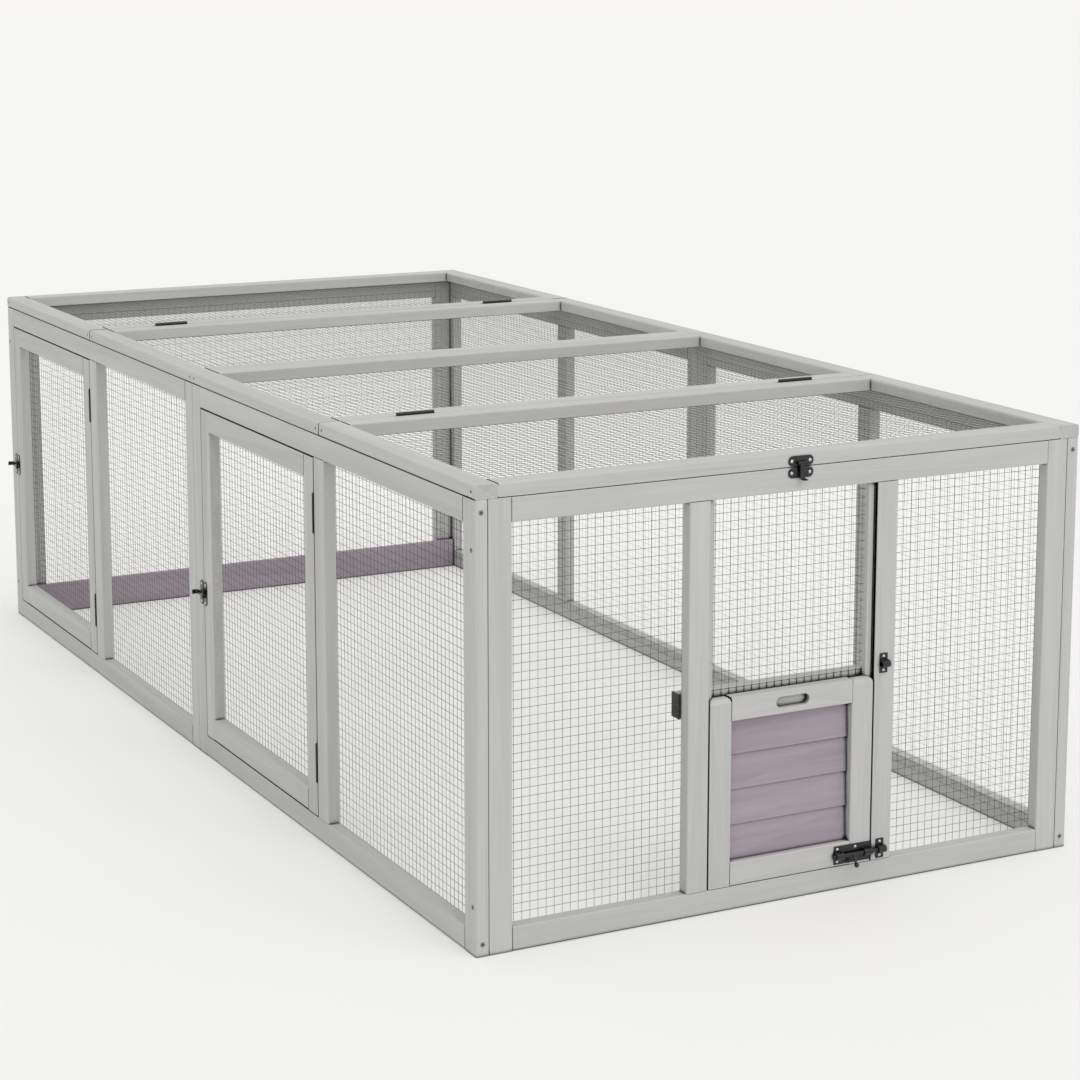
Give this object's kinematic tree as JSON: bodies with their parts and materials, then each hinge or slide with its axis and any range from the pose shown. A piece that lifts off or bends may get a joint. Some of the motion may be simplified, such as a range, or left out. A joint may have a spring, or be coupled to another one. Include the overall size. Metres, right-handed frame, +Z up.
{
  "type": "chicken run",
  "caption": "Low timber and wire mesh run for hens, with hinged side doors, lifting roof lids and a sliding pop door with a barrel bolt at one end.",
  "frame": {"origin": "middle of the base, on the ground", "axes": "+X along the run towards the pop door, +Y across it away from the side doors, +Z up"},
  "size_m": [2.1828, 1.0154, 0.6602],
  "materials": {
    "painted_timber": "light grey matt paint over softwood, faint grain",
    "tinted_boards": "purple-grey stain on lapped boards",
    "net_wire": "dark welded wire",
    "black_hardware": "satin black coating",
    "bright_screws": "bright zinc plate",
    "dark_screws": "dark zinc plate"
  },
  "bodies": {
    "run_frame": {"back_end_kick_board": "tinted_boards", "back_end_mesh": "net_wire", "back_end_rails": "painted_timber", "bolt_keepers": "black_hardware", "end_stiles": "painted_timber", "far_side_mesh": "net_wire", "far_side_rails": "painted_timber", "far_side_stiles": "painted_timber", "fixed_hinge_leaves": "black_hardware", "fixed_roof_cross_rails": "painted_timber", "fixed_roof_mesh": "net_wire", "fixed_roof_side_rails": "painted_timber", "frame_screws": "dark_screws", "hinge_pins": "black_hardware", "keeper_screws": "bright_screws", "latch_keepers": "black_hardware", "lintel_end_caps": "black_hardware", "near_side_mesh": "net_wire", "near_side_rails": "painted_timber", "near_side_stiles": "painted_timber", "pop_door_channels": "black_hardware", "pop_door_guide_strips": "painted_timber", "pop_door_lintel": "painted_timber", "pop_end_mesh": "net_wire", "pop_end_posts": "painted_timber", "pop_end_rails": "painted_timber", "roof_pins": "dark_screws", "side_mid_posts": "painted_timber"},
    "front_door": {"front_door_frame": "painted_timber", "front_door_hinge_leaves": "black_hardware", "front_door_latch_plate": "black_hardware", "front_door_mesh": "net_wire", "front_door_screws": "bright_screws"},
    "rear_door": {"rear_door_frame": "painted_timber", "rear_door_hinge_leaves": "black_hardware", "rear_door_latch_plate": "black_hardware", "rear_door_mesh": "net_wire", "rear_door_screws": "bright_screws"},
    "front_lid": {"front_lid_frame": "painted_timber", "front_lid_hinge_leaves": "black_hardware", "front_lid_latch_plate": "black_hardware", "front_lid_mesh": "net_wire", "front_lid_screws": "dark_screws"},
    "rear_lid": {"rear_lid_frame": "painted_timber", "rear_lid_hinge_leaves": "black_hardware", "rear_lid_latch_plate": "black_hardware", "rear_lid_mesh": "net_wire", "rear_lid_screws": "dark_screws"},
    "pop_door": {"pop_door_boards": "tinted_boards", "pop_door_bolt_plate": "black_hardware", "pop_door_frame": "painted_timber", "pop_door_screws": "bright_screws"},
    "pop_door_bolt": {"pop_door_bolt": "black_hardware"},
    "front_door_latch_arm": {"front_door_latch_arm": "black_hardware"},
    "rear_door_latch_arm": {"rear_door_latch_arm": "black_hardware"},
    "front_lid_latch_arm": {"front_lid_latch_arm": "black_hardware"},
    "rear_lid_latch_arm": {"rear_lid_latch_arm": "black_hardware"}
  },
  "joints": [
    {"name": "front_door_hinge", "type": "hinge", "parent": "run_frame", "child": "front_door", "pos_m": [0.5215, -0.5006, 0.3175], "axis": [0, 0, 1], "range_deg": [0, 120]},
    {"name": "rear_door_hinge", "type": "hinge", "parent": "run_frame", "child": "rear_door", "pos_m": [-0.5535, -0.5006, 0.3175], "axis": [0, 0, 1], "range_deg": [0, 120]},
    {"name": "front_lid_hinge", "type": "hinge", "parent": "run_frame", "child": "front_lid", "pos_m": [0.545, 0, 0.6572], "axis": [0, -1, 0], "range_deg": [0, 110]},
    {"name": "rear_lid_hinge", "type": "hinge", "parent": "run_frame", "child": "rear_lid", "pos_m": [-0.545, 0, 0.6572], "axis": [0, 1, 0], "range_deg": [0, 110]},
    {"name": "pop_door_slide", "type": "slide", "parent": "run_frame", "child": "pop_door", "axis": [0, 0, 1], "range_m": [0, 0.28]},
    {"name": "pop_door_bolt_slide", "type": "slide", "parent": "pop_door", "child": "pop_door_bolt", "axis": [0, 1, 0], "range_m": [-0.015, 0.012]},
    {"name": "front_door_latch_swing", "type": "hinge", "parent": "front_door", "child": "front_door_latch_arm", "pos_m": [0.043, -0.5038, 0.284], "axis": [0, 0, 1], "range_deg": [-5, 150]},
    {"name": "rear_door_latch_swing", "type": "hinge", "parent": "rear_door", "child": "rear_door_latch_arm", "pos_m": [-1.032, -0.5038, 0.318], "axis": [0, 0, 1], "range_deg": [-5, 150]},
    {"name": "front_lid_latch_swing", "type": "hinge", "parent": "front_lid", "child": "front_lid_latch_arm", "pos_m": [1.0788, 0.01, 0.64115], "axis": [0, -1, 0], "range_deg": [-5, 150]},
    {"name": "rear_lid_latch_swing", "type": "hinge", "parent": "rear_lid", "child": "rear_lid_latch_arm", "pos_m": [-1.0788, -0.01, 0.64115], "axis": [0, 1, 0], "range_deg": [-5, 150]}
  ]
}
